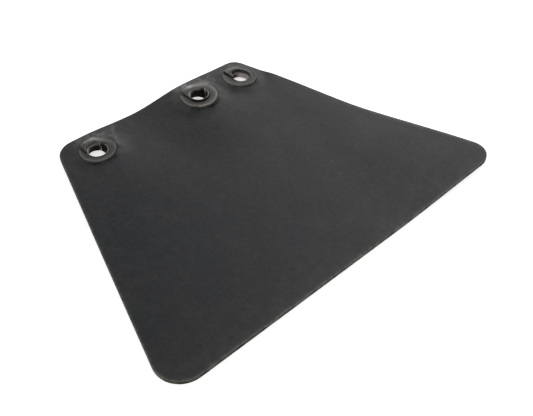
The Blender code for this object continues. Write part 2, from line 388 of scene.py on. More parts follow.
def top_height(x, y):
    wave = BROAD_HEIGHT * patchy(x, y, BROAD_PATCHES) + FINE_HEIGHT * patchy(x, y, FINE_PATCHES)
    for eyelet in EYELETS.values():
        wave *= 1.0 - seat_share(x, y, eyelet)
    return sheet_height(x, y) + SHEET_THICKNESS + wave + max(pushed_up(x, y), fold(x, y))


def rear_height(x, y):
    pad = 0.0
    for eyelet in EYELETS.values():
        pad = max(pad, pad_height(math.hypot(x - eyelet.x, y - eyelet.y) - SEAT_RADIUS))
    return sheet_height(x, y) - pad


def beyond_rings(point):
    """Distance from a point of the flat pattern to the nearest front ring."""
    return min((point - centre).length - radius for centre, radius in RIMS)


def face_points():
    """Points inside a face of the sheet: rings round the eyelets, and an even grid between."""
    points = []
    for centre, radius in RIMS:
        for distance in POINT_RINGS:
            for point in circle_points(centre, radius + distance, RING_POINTS):
                clear = beyond_rings(point) > distance - RING_OVERLAP
                if clear and outline_distance(point) > POINT_MARGIN:
                    points.append(point)
    rows = round(FLAP_HEIGHT / ROW_SPACING)
    for row in range(1, rows):
        y = FLAP_HEIGHT * row / rows
        for column in range(1, round(BOTTOM_WIDTH / GRID_SPACING)):
            point = Vector(((column + 0.5 * (row % 2)) * GRID_SPACING, y))
            clear = beyond_rings(point) > POINT_RINGS[-1] + 0.5 * GRID_SPACING
            if clear and outline_distance(point) > POINT_MARGIN:
                points.append(point)
    return points


def flat_face(outer_loop, bore_loops):
    """One face of the sheet between the outline and the bores: (points, triangles)."""
    points = []
    edges = []
    for loop in [outer_loop] + bore_loops:
        first = len(points)
        edges += [(first + step, first + (step + 1) % len(loop)) for step in range(len(loop))]
        points += loop
    points += face_points()
    vertices, _, faces, *_ = geometry.delaunay_2d_cdt(points, edges, [], CLOSED_LOOPS, CLOSE_POINTS)
    bores = [Vector((eyelet.x, eyelet.y)) for eyelet in EYELETS.values()]
    triangles = []
    for face in faces:
        middle = sum((vertices[index] for index in face), Vector((0.0, 0.0))) / len(face)
        if min((middle - bore).length for bore in bores) > BORE_RADIUS:
            triangles.append(face)
    return vertices, triangles


def add_edge_rows(bm, loops):
    """Rows of vertices from the top face over a rim and down to the rear face."""
    rows = []
    for (_, depth), loop in zip(edge_profile(), loops):
        share = depth / SHEET_THICKNESS
        row = []
        for point in loop:
            top = top_height(point.x, point.y)
            rear = rear_height(point.x, point.y)
            row.append(bm.verts.new((point.x, point.y, between(top, rear, share))))
        rows.append(row)
    bridge_rows(bm, rows)


def make_sheet(material):
    insets = [inset for inset, _ in edge_profile()]
    outer_loops = [outline_points(inset) for inset in insets]
    bore_loops = [
        [circle_points((eyelet.x, eyelet.y), BORE_RADIUS + inset, RING_POINTS) for inset in insets]
        for eyelet in EYELETS.values()
    ]
    points, triangles = flat_face(outer_loops[0], [loops[0] for loops in bore_loops])
    bm = bmesh.new()
    for height_at in (top_height, rear_height):
        verts = [bm.verts.new((*point, height_at(*point))) for point in points]
        for triangle in triangles:
            bm.faces.new([verts[index] for index in triangle])
    for loops in [outer_loops] + bore_loops:
        add_edge_rows(bm, loops)
    sheet = finish_piece("rubber_sheet", bm, material, "flap_sheet")
    store_marks(sheet.data, sheet_marks)
    sheet.data.transform(Matrix.Translation(-CENTRE))


# --- Marks on the rubber sheet ------------------------------------------------------------

DUST_AND_SHEEN_HELD = (0.95, 1.8, 0.45)     # how much dust and painted sheen lie on the rubber beyond each ring, in EYELETS' order
DUST_AND_SHEEN_ARC = (0.0, 135.0, 55.0)
DUST_AND_SHEEN_REACH = 6.0 * MM
DUST_AND_SHEEN_ROUND = 0.08                 # share of the dust and painted sheen that lies all round the ring
FOLD_HIGHLIGHT = 0.45                  # strength of the painted highlight along the crest of the crease
SHADOW_HELD = (0.6, 1.0, 0.6)      # how dark the painted shadow is on the rubber before each ring
SHADOW_ARC = (185.0, 325.0, 40.0)
SHADOW_LINE = 1.2 * MM             # distance of the middle of the painted shadow band from the ring
SHADOW_WIDTH = 1.3 * MM
ARRIS_WIDTH = 0.32 * MM           # worn band along every arris, which also carries a painted highlight
WORN_LIT_START = 160.0 * MM         # the right side's arris is worn and carries a painted rim highlight in a wider band
WORN_LIT_BLEND = 25.0 * MM
WORN_LIT_FOOT = 12.0 * MM           # but not beside the bottom edge
WORN_LIT_WIDTH = 1.3 * MM
WORN_LIT_STRENGTH = 0.85
WALL_START = 0.35 * MM            # depth at which the rough cut wall starts
WALL_BLEND = 0.35 * MM
WALL_INSET = 0.1 * MM             # how far in from the outline it ends
WALL_INSET_BLEND = 0.4 * MM
SCUFF_REACH = 12.0 * MM           # how far the scuffs reach up from the bottom edge
DAMP_CENTRE = (37.0 * MM, 73.0 * MM)  # middle of a darker, bluish patch at the left
DAMP_RADIUS = 32.0 * MM


def held_by_rings(x, y):
    """How much dust and painted sheen lie beyond the rings, and how much painted shadow lies before
    them, at a point of the sheet.
    """
    dust_and_sheen = 0.0
    painted_shadow = 0.0
    for (centre, radius), dust_and_sheen_held, shadow_held in zip(RIMS, DUST_AND_SHEEN_HELD, SHADOW_HELD):
        across = x - centre.x
        up = y - centre.y
        beyond = math.hypot(across, up) - radius
        far_side = between(DUST_AND_SHEEN_ROUND, 1.0, arc_window(across, up, *DUST_AND_SHEEN_ARC))
        dust_and_sheen = max(dust_and_sheen, dust_and_sheen_held * far_side * math.exp(-max(beyond, 0.0) / DUST_AND_SHEEN_REACH))
        band = math.exp(-((beyond - SHADOW_LINE) / SHADOW_WIDTH) ** 2)
        painted_shadow = max(painted_shadow, shadow_held * band * arc_window(across, up, *SHADOW_ARC))
    return dust_and_sheen, painted_shadow


def sheet_marks(point):
    """Where the rubber is worn with a painted edge highlight, cut, dusty with painted sheen, painted
    with shadow, scuffed or dark.
    """
    x, y, z = point
    inwards = outline_distance(Vector((x, y)))
    down = top_height(x, y) - z
    from_arris = math.hypot(max(inwards, 0.0), max(down, 0.0))
    worn_lit_band = WORN_LIT_STRENGTH * smooth_step((x - WORN_LIT_START) / WORN_LIT_BLEND)
    worn_lit_band *= smooth_step(y / WORN_LIT_FOOT)
    worn_lit_band *= math.exp(-(from_arris / WORN_LIT_WIDTH) ** 2)
    wall = smooth_step((down - WALL_START) / WALL_BLEND)
    wall *= 1.0 - smooth_step((inwards - WALL_INSET) / WALL_INSET_BLEND)
    dust_and_sheen, painted_shadow = held_by_rings(x, y)
    facing_out = 1.0 - smooth_step(down / SHEET_THICKNESS)
    away = math.hypot(x - DAMP_CENTRE[0], y - DAMP_CENTRE[1]) / DAMP_RADIUS
    return {
        "wear": max(worn_lit_band, math.exp(-from_arris / ARRIS_WIDTH)),
        "wall": wall,
        "dust_and_sheen": facing_out * max(dust_and_sheen, FOLD_HIGHLIGHT * fold(x, y) / FOLD_HEIGHT),
        "painted_shadow": facing_out * painted_shadow,
        "scuff": math.exp(-max(y, 0.0) / SCUFF_REACH),
        "damp": math.exp(-away * away),
    }


# --- Front rings --------------------------------------------------------------------------

# Section of a front ring in mm: up its outer wall and in over its rim, as (distance in from its
# outside, height, share of the ramp), and on over its mouth, as (distance out from the bore, ...).
RIM_SIDE = (
    (0.08, 0.0, 0.0), (0.0, 0.08, 0.0), (0.0, 0.36, 0.9), (0.06, 0.58, 1.0), (0.20, 0.76, 1.0),
    (0.42, 0.87, 1.0), (0.68, 0.89, 1.0), (0.95, 0.84, 1.0), (1.25, 0.77, 1.0), (1.60, 0.72, 1.0),
    (1.95, 0.70, 1.0),
)
BORE_SIDE = (
    (1.30, 0.70, 1.0), (1.05, 0.71, 1.0), (0.80, 0.72, 1.0), (0.55, 0.72, 1.0), (0.33, 0.70, 1.0),
    (0.16, 0.65, 1.0), (0.04, 0.56, 1.0), (0.0, 0.42, 0.9), (0.0, 0.08, 0.0), (0.08, 0.0, 0.0),
)
RING_FOOT = 0.04 * MM             # gap left between a front ring and the pad under it
CLIMB_STEPS = 150
DROP_STEPS = 10
STEP_WALL = math.radians(4.0)     # how much of the turn the step's wall takes
BEAD_HEIGHT = 0.3 * MM            # the ring swells towards the sleeve on its far and left sides
BEAD_START = 0.3 * MM
BEAD_WIDTH = 1.9 * MM
BEAD_ARC = (50.0, 225.0, 45.0)
RING_UNEVENNESS = 0.06 * MM
RING_PATCH = 2.6 * MM
# slice of the noise
RING_SLICE = {"left": 16.0, "middle": 24.0, "right": 20.0}
# the right ring's bore is torn wider on one side
NOTCH_DEPTH = {"left": 0.0, "middle": 0.0, "right": 1.1 * MM}
NOTCH_ARC = (48.0, 128.0, 12.0)

# (direction, radius in mm, strength) along the painted highlight on each front ring, a bright band that
# stands for light on its raised far side
PAINTED_HIGHLIGHT = {
    "left": (
        (-60.0, 8.6, 0.0), (-25.0, 8.7, 0.12), (20.0, 7.0, 0.15), (44.0, 6.9, 0.35),
        (74.0, 8.2, 0.72), (99.0, 8.5, 0.45), (118.0, 8.6, 0.0),
    ),
    "middle": (
        (-130.0, 9.3, 0.2), (-60.0, 9.2, 0.25), (-20.0, 9.0, 0.27), (22.0, 8.9, 0.32),
        (58.0, 8.3, 0.56), (87.0, 8.6, 1.0), (104.0, 8.8, 0.3), (122.0, 8.6, 0.0),
    ),
    "right": (
        (-40.0, 7.0, 0.0), (20.0, 7.2, 0.15), (73.0, 7.8, 0.3), (99.0, 8.2, 0.2), (120.0, 8.2, 0.0),
    ),
}
HIGHLIGHT_WIDTH = 1.1                 # in mm
# (start and end of an arc, how much lighter the rim is painted along it, as wear and as painted light;
# darker where negative)
RIM_WEAR_AND_LIGHT = {
    "left": ((-75.0, 65.0, -0.7), (175.0, 285.0, 0.7)),
    "middle": ((170.0, 285.0, 1.4),),
    "right": ((-75.0, 85.0, -0.5),),
}
RIM_WEAR_FADE = 45.0
RIM_CREST = 0.45 * MM             # distance of the rim's crest in from its outside
RIM_WEAR_WIDTH = 0.35 * MM
MOUTH_WEAR = 0.6                  # how worn the edge of the bore is
MOUTH_WEAR_WIDTH = 0.3 * MM
# how far the painted shade reaches out from the near side of each bore
NEAR_SHADE = {"left": 0.45 * MM, "middle": 0.45 * MM, "right": 0.8 * MM}
NEAR_SHADE_ARC = (165.0, 325.0, 30.0)
# painted shadow high on the wall of the right ring's bore
WALL_SHADE = {"left": 0.0, "middle": 0.0, "right": 1.0}
WALL_SHADE_ARC = (-45.0, 75.0, 25.0)
WALL_SHADE_EDGE = 0.1 * MM        # how far it comes out over the edge of the bore
WALL_SHADE_HEIGHT = 0.65 * MM
WALL_SHADE_BLEND = 0.2 * MM
STEP_SHADE_WIDTH = 0.22 * MM      # of the painted shadow along the step, level with the bore's middle
STEP_SHADE_GAIN = 0.24 * MM       # how much wider it is towards the rim
STEP_SHADE_REACH = 7.0 * MM


def eyelet_matrix(eyelet):
    """Place of an eyelet's rings and sleeve: the middle of its bore, on the face of the pad."""
    face = top_edge_height(eyelet.x) + SHEET_THICKNESS + PAD_PROUD
    place = Matrix.Translation(Vector((eyelet.x, eyelet.y, face)) - CENTRE)
    return place @ Matrix.Rotation(eyelet.tilt, 4, "Y")


def ring_profile(eyelet):
    """(radius, height, share of the ramp) round the section of a front ring."""
    rim_side = [(eyelet.outer - inward * MM, height * MM, ramp) for inward, height, ramp in RIM_SIDE]
    bore_side = [(eyelet.bore + outward * MM, height * MM, ramp) for outward, height, ramp in BORE_SIDE]
    return rim_side + bore_side


def ring_turns():
    """(angle turned from the low end of the ramp, share of the step's height)."""
    climb = TURN - STEP_WALL
    turns = [(climb * step / CLIMB_STEPS, step / CLIMB_STEPS) for step in range(CLIMB_STEPS)]
    for step in range(DROP_STEPS):
        share = step / DROP_STEPS
        turns.append((climb + STEP_WALL * share, 1.0 - smooth_step(share)))
    return turns


def bead(x, y, bore):
    """Share of the swelling towards the sleeve at a point of a front ring."""
    inward = 1.0 - smooth_step((math.hypot(x, y) - bore - BEAD_START) / BEAD_WIDTH)
    return inward * arc_window(x, y, *BEAD_ARC)


def painted_highlight(name, x, y):
    """Strength of the painted highlight at a point of a ring's face."""
    stations = PAINTED_HIGHLIGHT[name]
    first = stations[0][0]
    angle = first + (math.degrees(math.atan2(y, x)) - first) % 360.0
    for (start, near, weak), (end, far, strong) in zip(stations, stations[1:]):
        if start <= angle <= end:
            share = smooth_step((angle - start) / (end - start))
            away = (math.hypot(x, y) / MM - between(near, far, share)) / HIGHLIGHT_WIDTH
            return between(weak, strong, share) * math.exp(-away * away)
    return 0.0


def ring_wear_and_light(name, x, y):
    """How worn the paint is along the rim and round the mouth of a front ring, with painted light and
    shade on the rim by direction.
    """
    eyelet = EYELETS[name]
    from_crest = math.hypot(x + eyelet.off_centre, y) - eyelet.outer + RIM_CREST
    rim = math.exp(-abs(from_crest) / RIM_WEAR_WIDTH)
    for start, end, more in RIM_WEAR_AND_LIGHT[name]:
        rim *= 1.0 + more * arc_window(x, y, start, end, RIM_WEAR_FADE)
    mouth = math.exp(-abs(math.hypot(x, y) - eyelet.bore) / MOUTH_WEAR_WIDTH)
    return max(rim, MOUTH_WEAR * mouth)


def ring_shade(name, x, y, z):
    """Painted shade in the step, along the near side of the bore, and on the right bore's wall."""
    eyelet = EYELETS[name]
    from_bore = math.hypot(x, y) - eyelet.bore
    step_and_bore_shade = math.exp(-max(from_bore, 0.0) / NEAR_SHADE[name]) * arc_window(x, y, *NEAR_SHADE_ARC)
    if from_bore < WALL_SHADE_EDGE:
        wall = WALL_SHADE[name] * smooth_step((z - WALL_SHADE_HEIGHT) / WALL_SHADE_BLEND)
        step_and_bore_shade = max(step_and_bore_shade, wall * arc_window(x, y, *WALL_SHADE_ARC))
    if y > 0.0:
        width = STEP_SHADE_WIDTH + STEP_SHADE_GAIN * smooth_step(y / STEP_SHADE_REACH)
        from_step = x + eyelet.bore + STEP_OFFSET
        step_and_bore_shade = max(step_and_bore_shade, math.exp(-abs(from_step + width) / width))
    return step_and_bore_shade


def ring_marks(name, point):
    return {
        "wear": ring_wear_and_light(name, point.x, point.y),
        "painted_highlight": painted_highlight(name, point.x + EYELETS[name].off_centre, point.y),
        "step_and_bore_shade": ring_shade(name, *point),
    }


def make_front_ring(name, material):
    eyelet = EYELETS[name]
    step_line = eyelet.bore + STEP_OFFSET
    bm = bmesh.new()
    rows = []
    for radius, height, ramp in ring_profile(eyelet):
        # each row starts where it meets the line of the step, which runs along Y
        start = math.acos(-step_line / max(radius, step_line))
        outward = (radius - eyelet.bore) / (eyelet.outer - eyelet.bore)
        row = []
        for turned, share in ring_turns():
            out = Vector((math.cos(turned + start), math.sin(turned + start)))
            notch = NOTCH_DEPTH[name] * (1.0 - outward) * arc_window(out.x, out.y, *NOTCH_ARC)
            x = out.x * (radius + notch) - eyelet.off_centre * outward
            y = out.y * (radius + notch)
            uneven = patchy(x, y, (RING_PATCH, RING_PATCH, RING_SLICE[name]))
            swell = BEAD_HEIGHT * bead(x, y, eyelet.bore) + RING_UNEVENNESS * uneven
            z = RING_FOOT + height + (RING_STEP * share + swell) * ramp
            row.append(bm.verts.new((x, y, z)))
        rows.append(row)
    bridge_rows(bm, rows + rows[:1])
    ring = finish_piece("ring_" + name, bm, material, "front_ring_" + name)
    store_marks(ring.data, lambda point: ring_marks(name, point))
    ring.data.transform(eyelet_matrix(eyelet))


# --- Sleeves ------------------------------------------------------------------------------

MOUTH = (                         # (radius, depth below the front end) of the flared mouth
    (5.40 * MM, 0.50 * MM),
    (5.39 * MM, 0.30 * MM),
    (5.35 * MM, 0.14 * MM),
    (5.27 * MM, 0.04 * MM),
    (5.15 * MM, 0.00 * MM),
    (5.02 * MM, 0.04 * MM),
    (4.90 * MM, 0.14 * MM),
    (4.77 * MM, 0.30 * MM),
    (4.64 * MM, 0.54 * MM),
    (4.50 * MM, 0.86 * MM),
    (4.37 * MM, 1.22 * MM),
    (4.28 * MM, 1.60 * MM),
    (4.25 * MM, 2.00 * MM),
)
MOUTH_CREST = 5.1 * MM            # inside this radius, the mouth leans with the bore
MOUTH_HEIGHT = 1.6 * MM
# radius that the wall of each sleeve is turned outward with at the rear
REAR_CURL = {"left": 0.6 * MM, "middle": 0.8 * MM, "right": 1.2 * MM}
LIP_EDGE = 0.12 * MM              # roundings of the lip's edges and of its root
LIP_EDGE_HEIGHT = 0.08 * MM
LIP_TOP_EDGE = 0.1 * MM
LIP_ROOT = 0.15 * MM
INNER_STEPS = 6
CURL_STEPS = 6
SLEEVE_STEPS = 120
# how far the rear end of the bore is off its front end
LEAN = {
    "left": Vector((-0.69, 1.03, 0.0)) * MM,
    "middle": Vector((-0.76, 1.10, 0.0)) * MM,
    "right": Vector((-0.27, 1.19, 0.0)) * MM,
}
OUTSIDE_LEAN = 0.28               # share of the lean that the outside of the wall takes
MOUTH_LEAN = 0.3                  # the mouth's foot is off the other way by this share
SEAM_TURN = {"left": math.radians(10.0), "middle": 0.0, "right": 0.0}
# how much the seam turns for each metre of depth
SEAM_TWIST = {"left": 0.0, "middle": math.radians(-6.0) / MM, "right": 0.0}
DENT_DEPTH = 0.06 * MM            # unevenness of the front end
DENT_REACH = 1.2 * MM
DENT_SCALE = 2.3
DENT_SLICE = {"left": 12.0, "middle": 18.0, "right": 15.0}

EDGE_WEAR_WIDTH = 0.26 * MM       # the mouth's front edge is worn bright, most along two arcs
EDGE_WEAR_ROUND = 0.3
EDGE_WEAR_LEFT_ARC = (85.0, 200.0, 35.0)
EDGE_WEAR_RIGHT_ARC = (-100.0, 40.0, 40.0)
# (strength, arc) of the stretches of the mouth's funnel painted lighter, as light falling on them
FUNNEL_LIGHT = ((0.42, (25.0, 150.0, 30.0)), (0.9, (100.0, 195.0, 35.0)))
FUNNEL_DEPTH = 0.6 * MM
FUNNEL_BLEND = 0.9 * MM
# the inside of the right sleeve is painted pale on its far side, as light falling on it
LIT_WALL = {"left": 0.0, "middle": 0.0, "right": 1.0}
LIT_WALL_ARC = (-70.0, 92.0, 45.0)
LIT_WALL_FRONT = 0.3 * MM             # depth at which the painted lit side starts
LIT_WALL_FRONT_BLEND = 0.4 * MM
LIT_WALL_REAR_BLEND = 0.5 * MM
HALF_SEAM = 0.5 * SEAM_WIDTH / SLEEVE_INNER
SEAM_EDGE = 0.03                  # width of the painted highlight along the seam's edge, in radians


def seam_direction(name, height):
    """Direction of a sleeve's seam at a height, in radians."""
    eyelet = EYELETS[name]
    return eyelet.seam + SEAM_TURN[name] + SEAM_TWIST[name] * (eyelet.front - height)


def sleeve_profile(front, curl):
    """(radius, height, share of the lean) round the sleeve's wall, from outside the front end."""
    profile = [
        (radius, front - depth, 1.0 if radius < MOUTH_CREST else 0.0) for radius, depth in MOUTH
    ]
    mouth_end = profile[-1][1]
    rear_start = SLEEVE_REAR + curl
    for step in range(1, INNER_STEPS + 1):
        height = between(mouth_end, rear_start, step / (INNER_STEPS + 1))
        profile.append((SLEEVE_INNER, height, 1.0))
    for angle in quarter_turn(CURL_STEPS):
        radius = SLEEVE_INNER + curl * (1.0 - math.cos(angle))
        profile.append((radius, rear_start - curl * math.sin(angle), 1.0))
    outside = (
        (LIP_RADIUS - LIP_EDGE, SLEEVE_REAR),
        (LIP_RADIUS, SLEEVE_REAR + LIP_EDGE_HEIGHT),
        (LIP_RADIUS, LIP_TOP - LIP_EDGE_HEIGHT),
        (LIP_RADIUS - LIP_TOP_EDGE, LIP_TOP),
        (SLEEVE_OUTER + LIP_ROOT, LIP_TOP),
        (SLEEVE_OUTER, LIP_TOP + LIP_ROOT),
        (SLEEVE_OUTER, 0.5 * (LIP_TOP + front)),
    )
    return profile + [(radius, height, OUTSIDE_LEAN) for radius, height in outside]


def sleeve_marks(name, point):
    """Where a sleeve is worn at its mouth, painted as lit on its funnel and inside, and painted with a
    highlight along its seam.
    """
    x, y, z = point
    depth = EYELETS[name].front - z
    edge = between(EDGE_WEAR_ROUND, 1.0, arc_window(x, y, *EDGE_WEAR_LEFT_ARC))
    edge = max(edge, arc_window(x, y, *EDGE_WEAR_RIGHT_ARC))
    funnel = max(strength * arc_window(x, y, *arc) for strength, arc in FUNNEL_LIGHT)
    funnel *= 1.0 - smooth_step((depth - FUNNEL_DEPTH) / FUNNEL_BLEND)
    lit_inner_wall = LIT_WALL[name] * smooth_step((depth - LIT_WALL_FRONT) / LIT_WALL_FRONT_BLEND)
    lit_inner_wall *= smooth_step((z - SLEEVE_REAR) / LIT_WALL_REAR_BLEND)
    from_seam = (math.atan2(y, x) - seam_direction(name, z) + math.pi) % TURN - math.pi
    return {
        "wear": max(edge * math.exp(-depth / EDGE_WEAR_WIDTH), funnel),
        "lit_inner_wall": lit_inner_wall * arc_window(x, y, *LIT_WALL_ARC),
        "seam": math.exp(-(from_seam - HALF_SEAM) / SEAM_EDGE) if from_seam > 0.0 else 0.0,
    }


def make_sleeve(name, material):
    eyelet = EYELETS[name]
    profile = sleeve_profile(eyelet.front, REAR_CURL[name])
    bm = bmesh.new()
    rows = []
    for step in range(SLEEVE_STEPS + 1):
        turned = HALF_SEAM + (TURN - 2.0 * HALF_SEAM) * step / SLEEVE_STEPS
        row = []
        for radius, height, leans in profile:
            depth = eyelet.front - height
            angle = turned + seam_direction(name, height)
            out = Vector((math.cos(angle), math.sin(angle), 0.0))
            near_front = smooth_step((DENT_REACH - depth) / DENT_REACH)
            dent = noise.noise(out * DENT_SCALE + Vector((0.0, 0.0, DENT_SLICE[name]))) - 1.0
            point = out * radius + Vector((0.0, 0.0, height + DENT_DEPTH * near_front * dent))
            share = (1.0 + MOUTH_LEAN) * depth / (eyelet.front - SLEEVE_REAR)
            share -= MOUTH_LEAN * smooth_step(depth / MOUTH_HEIGHT)
            row.append(bm.verts.new(point + LEAN[name] * (share * leans)))
        rows.append(row)
    bridge_rows(bm, rows)
    bm.faces.new(rows[0])
    bm.faces.new(rows[-1])
    sleeve = finish_piece("rolled_sleeve_" + name, bm, material, "sleeve_" + name)
    store_marks(sleeve.data, lambda point: sleeve_marks(name, point))
    sleeve.data.transform(eyelet_matrix(eyelet))


# --- Rear rings ---------------------------------------------------------------------------

WASHER_POINTS = 96
WASHER_EDGE = 0.15 * MM           # of its rounded outer edges
WASHER_ROUND = (0.04 * MM, 0.05 * MM)  # how far the middle of an edge is in and down
WASHER_SEAT = 1.2 * MM            # width of the outer band of the rear face
WASHER_MOUTH = 0.1 * MM           # of the bevel at its bore
WASHER_WEAR_WIDTH = 0.25 * MM


def washer_marks(point):
    return {"wear": math.exp(-abs(math.hypot(point.x, point.y) - REAR_RADIUS) / WASHER_WEAR_WIDTH)}


def make_rear_ring(name, material):
    profile = (
        (REAR_RADIUS - WASHER_EDGE, REAR_RING_TOP),
        (REAR_RADIUS - WASHER_ROUND[0], REAR_RING_TOP - WASHER_ROUND[1]),
        (REAR_RADIUS, REAR_RING_TOP - WASHER_EDGE),
        (REAR_RADIUS, REAR_RING_REAR + WASHER_EDGE),
        (REAR_RADIUS - WASHER_ROUND[0], REAR_RING_REAR + WASHER_ROUND[1]),
        (REAR_RADIUS - WASHER_EDGE, REAR_RING_REAR),
        (REAR_RADIUS - WASHER_SEAT, REAR_RING_REAR),
        (BORE_RADIUS + WASHER_MOUTH, REAR_RING_REAR),
        (BORE_RADIUS, REAR_RING_REAR + WASHER_MOUTH),
        (BORE_RADIUS, REAR_RING_TOP - WASHER_MOUTH),
        (BORE_RADIUS + WASHER_MOUTH, REAR_RING_TOP),
    )
    bm = bmesh.new()
    rows = []
    for radius, height in profile:
        circle = circle_points((0.0, 0.0), radius, WASHER_POINTS)
        rows.append([bm.verts.new((*point, height)) for point in circle])
    bridge_rows(bm, rows + rows[:1])
    ring = finish_piece("washer_" + name, bm, material, "rear_ring_" + name)
    store_marks(ring.data, washer_marks)
    ring.data.transform(eyelet_matrix(EYELETS[name]))


# --- Materials ----------------------------------------------------------------------------

MIX_COLOURS = (6, 7)              # a Mix node's colour inputs, and its colour output
MIX_RESULT = 2
# (stretch across and along, direction in radians, how rare) of the fine scratches in the rubber
SCRATCHES = (
    ((55.0, 1100.0, 1.0), 0.45, 0.66),
    ((70.0, 1300.0, 1.0), -0.95, 0.67),
    ((45.0, 1000.0, 1.0), 1.30, 0.67),
    ((60.0, 1200.0, 1.0), 0.05, 0.67),
)
SCRATCH_EDGE = 0.08


class Shader:
    """Builds one node material, in the object's own coordinates. Colours are linear RGB."""

    def __init__(self, name):
        self.material = bpy.data.materials.new(name)
        self.material.use_nodes = True
        self.nodes = self.material.node_tree.nodes
        self.links = self.material.node_tree.links
        self.surface = self.nodes["Principled BSDF"]
        self.position = self.nodes.new("ShaderNodeTexCoord").outputs["Object"]

    def feed(self, socket, value):
        """Link an output to a socket, or set the socket to a number or colour."""
        if isinstance(value, bpy.types.NodeSocket):
            self.links.new(value, socket)
        elif isinstance(value, tuple) and len(value) == 3 and socket.type == "RGBA":
            socket.default_value = (*value, 1.0)
        else:
            socket.default_value = value

    def stretched(self, scale, turn):
        mapping = self.nodes.new("ShaderNodeMapping")
        self.feed(mapping.inputs["Vector"], self.position)
        mapping.inputs["Scale"].default_value = scale
        mapping.inputs["Rotation"].default_value = (0.0, 0.0, turn)
        return mapping.outputs["Vector"]

    def noise(self, scale, detail=4.0, roughness=0.55, vector=None):
        node = self.nodes.new("ShaderNodeTexNoise")
        self.feed(node.inputs["Vector"], vector or self.position)
        node.inputs["Scale"].default_value = scale
        node.inputs["Detail"].default_value = detail
        node.inputs["Roughness"].default_value = roughness
        return node.outputs["Fac"]

    def voronoi(self, scale):
        node = self.nodes.new("ShaderNodeTexVoronoi")
        self.feed(node.inputs["Vector"], self.position)
        node.inputs["Scale"].default_value = scale
        return node.outputs["Distance"]

    def attribute(self, name):
        node = self.nodes.new("ShaderNodeAttribute")
        node.attribute_name = name
        return node.outputs["Fac"]

    def remap(self, value, low, high, new_low=0.0, new_high=1.0):
        node = self.nodes.new("ShaderNodeMapRange")
        node.interpolation_type = "SMOOTHSTEP"
        for name, number in (
            ("Value", value),
            ("From Min", low),
            ("From Max", high),
            ("To Min", new_low),
            ("To Max", new_high),
        ):
            self.feed(node.inputs[name], number)
        return node.outputs["Result"]

    def math(self, operation, first, second):
        node = self.nodes.new("ShaderNodeMath")
        node.operation = operation
        self.feed(node.inputs[0], first)
        self.feed(node.inputs[1], second)
        return node.outputs[0]

    def times(self, first, second):
        return self.math("MULTIPLY", first, second)

    def mix(self, factor, first, second):
        node = self.nodes.new("ShaderNodeMix")
        node.data_type = "RGBA"
        self.feed(node.inputs["Factor"], factor)
        for index, colour in zip(MIX_COLOURS, (first, second)):
            self.feed(node.inputs[index], colour)
        return node.outputs[MIX_RESULT]

    def layered(self, base, layers):
        """A base colour under layers of (strength, colour), the first at the bottom."""
        for strength, colour in layers:
            base = self.mix(strength, base, colour)
        return base

    def bump(self, height, distance, strength, under=None):
        node = self.nodes.new("ShaderNodeBump")
        node.inputs["Strength"].default_value = strength
        node.inputs["Distance"].default_value = distance
        self.feed(node.inputs["Height"], height)
        if under:
            self.feed(node.inputs["Normal"], under)
        return node.outputs["Normal"]

    def finish(self, **inputs):
        for name, value in inputs.items():
            self.feed(self.surface.inputs[name.replace("_", " ")], value)
        return self.material


def scratched(shader):
    """Broken fine scratches in four directions."""
    scratches = 0.0
    for stretch, turn, rare in SCRATCHES:
        line = shader.noise(1.0, 2.0, 0.5, shader.stretched(stretch, turn))
        line = shader.remap(line, rare, rare + SCRATCH_EDGE)
        scratches = shader.math("MAXIMUM", scratches, line)
    broken = shader.remap(shader.noise(75.0, 3.0, 0.6), 0.45, 0.62)
    return shader.times(scratches, broken)


